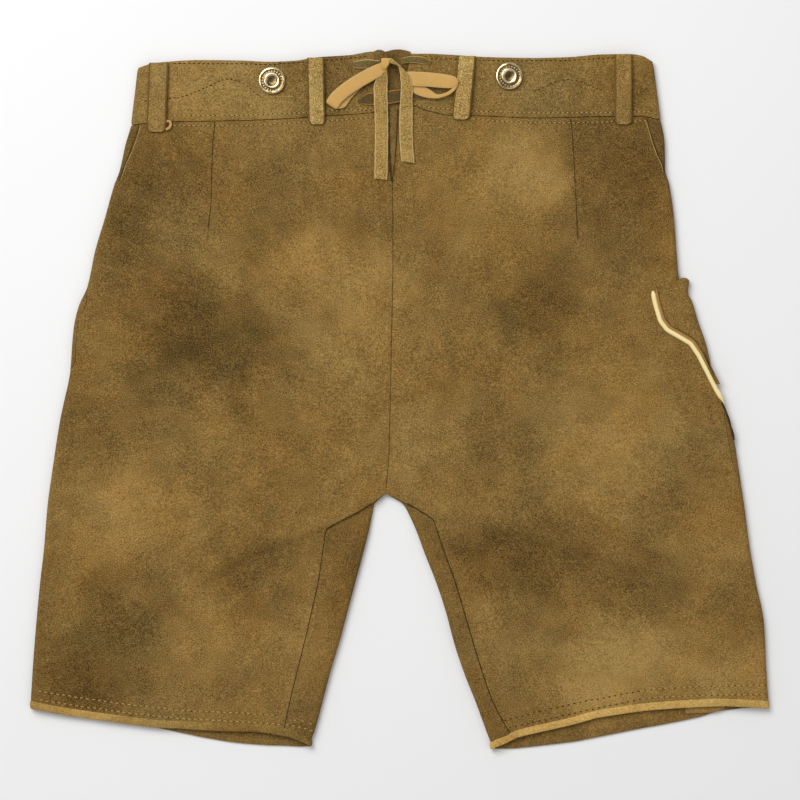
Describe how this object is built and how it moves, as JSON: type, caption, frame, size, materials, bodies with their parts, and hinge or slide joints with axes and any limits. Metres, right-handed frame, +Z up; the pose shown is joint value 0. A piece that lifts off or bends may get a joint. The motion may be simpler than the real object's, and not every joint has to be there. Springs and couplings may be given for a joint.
{
  "type": "lederhosen laid flat",
  "caption": "Short olive suede lederhosen laid flat on their front, back side up, with a laced waistband, belt loops, metal brace buttons and a piped knife pocket.",
  "frame": {"origin": "centre of the garment's bounding box, on the surface that it lies on", "axes": "+X to the wearer's right, +Y to the waist, +Z up from the surface, through the front to the back"},
  "size_m": [0.5912, 0.5595, 0.015],
  "materials": {
    "suede": "olive-brown brushed suede with darker and lighter clouds",
    "gusset": "thinner olive-brown leather, smoother than the panels",
    "binding": "lighter tan suede binding with a cut orange-brown edge",
    "piping": "smooth cream leather piping",
    "welt": "smooth tan-orange leather",
    "lace": "flat lace, olive suede on one side and smooth pale tan grain on the other",
    "button_metal": "polished pale brass with a stamped ring",
    "horn": "polished horn"
  },
  "bodies": {
    "root": {"waistband_left": "suede", "waistband_right": "suede", "back_left": "suede", "back_right": "suede", "front_left": "suede", "front_right": "suede", "front_flap": "suede", "back_gusset": "gusset", "hem_binding_left": "binding", "hem_binding_right": "binding", "hem_tab_right": "binding", "belt_loop_outer_left": "suede", "belt_loop_inner_left": "suede", "belt_loop_inner_right": "suede", "belt_loop_outer_right": "suede", "knife_pocket": "suede", "knife_pocket_piping": "piping", "knife_pocket_welt": "welt", "lace_crossing_lower": "lace", "lace_crossing_upper_left": "lace", "lace_crossing_upper_right": "lace", "lace_loop_left": "lace", "lace_loop_right": "lace", "lace_end_left": "lace", "lace_end_right": "lace", "lace_knot": "lace", "suspender_button_left": "button_metal", "suspender_button_right": "button_metal", "flap_button_left": "horn", "flap_button_right": "horn"}
  },
  "joints": []
}
